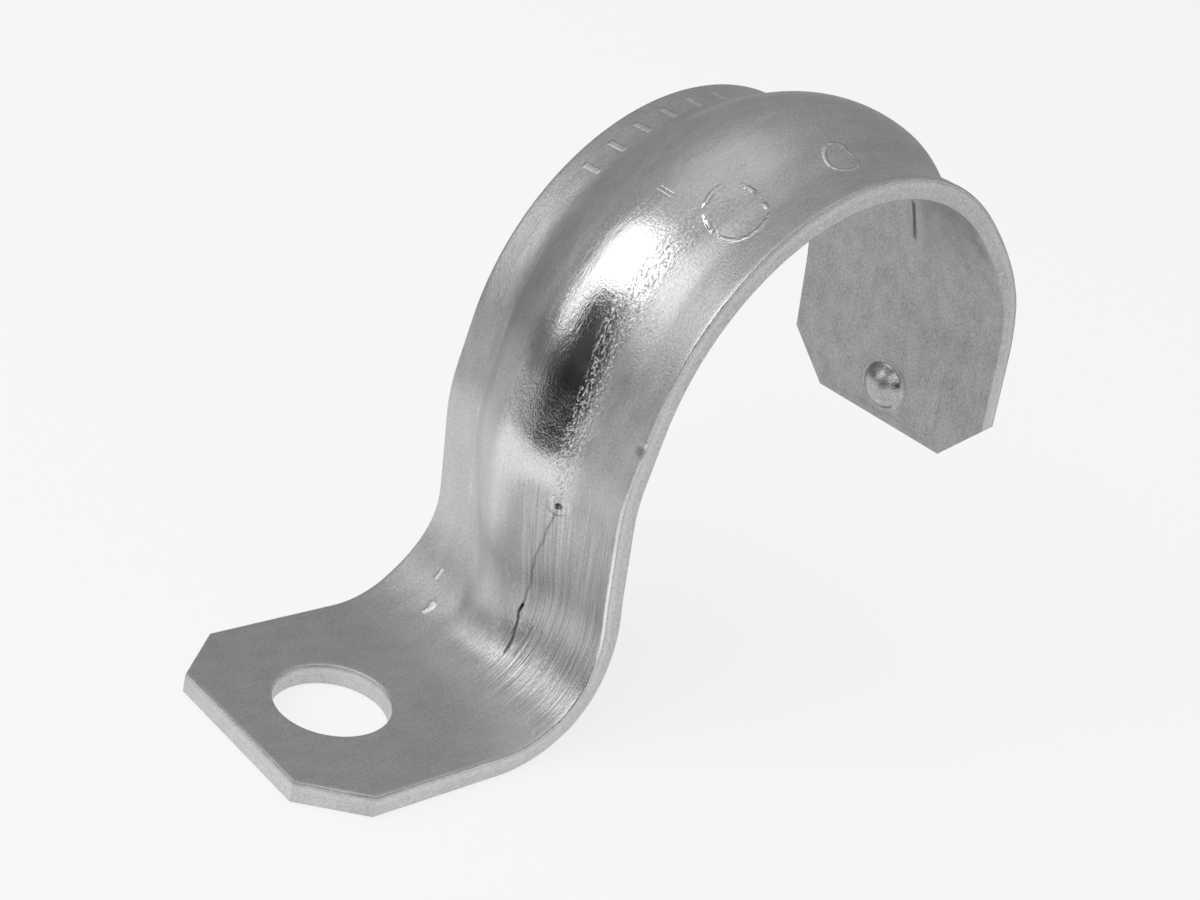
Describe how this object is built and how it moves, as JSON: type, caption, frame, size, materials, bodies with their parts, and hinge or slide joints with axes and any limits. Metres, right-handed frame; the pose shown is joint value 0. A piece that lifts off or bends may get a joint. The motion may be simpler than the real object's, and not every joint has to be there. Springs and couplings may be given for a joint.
{
  "type": "pipe strap",
  "caption": "Pressed steel strap that is pushed over a conduit and held to a wall by one screw through its flat foot; a rib stiffens its arch.",
  "frame": {"origin": "middle of the screw hole, on the foot's face that lies on the wall", "axes": "+Z out of the wall, +X from the foot towards the arch, Y across the strap and along the conduit"},
  "size_m": [0.0778, 0.0254, 0.0549],
  "materials": {
    "zinc_steel": "zinc plated sheet, satin, with fine scratches along the strap"
  },
  "bodies": {
    "root": {"strap": "zinc_steel"}
  },
  "joints": []
}
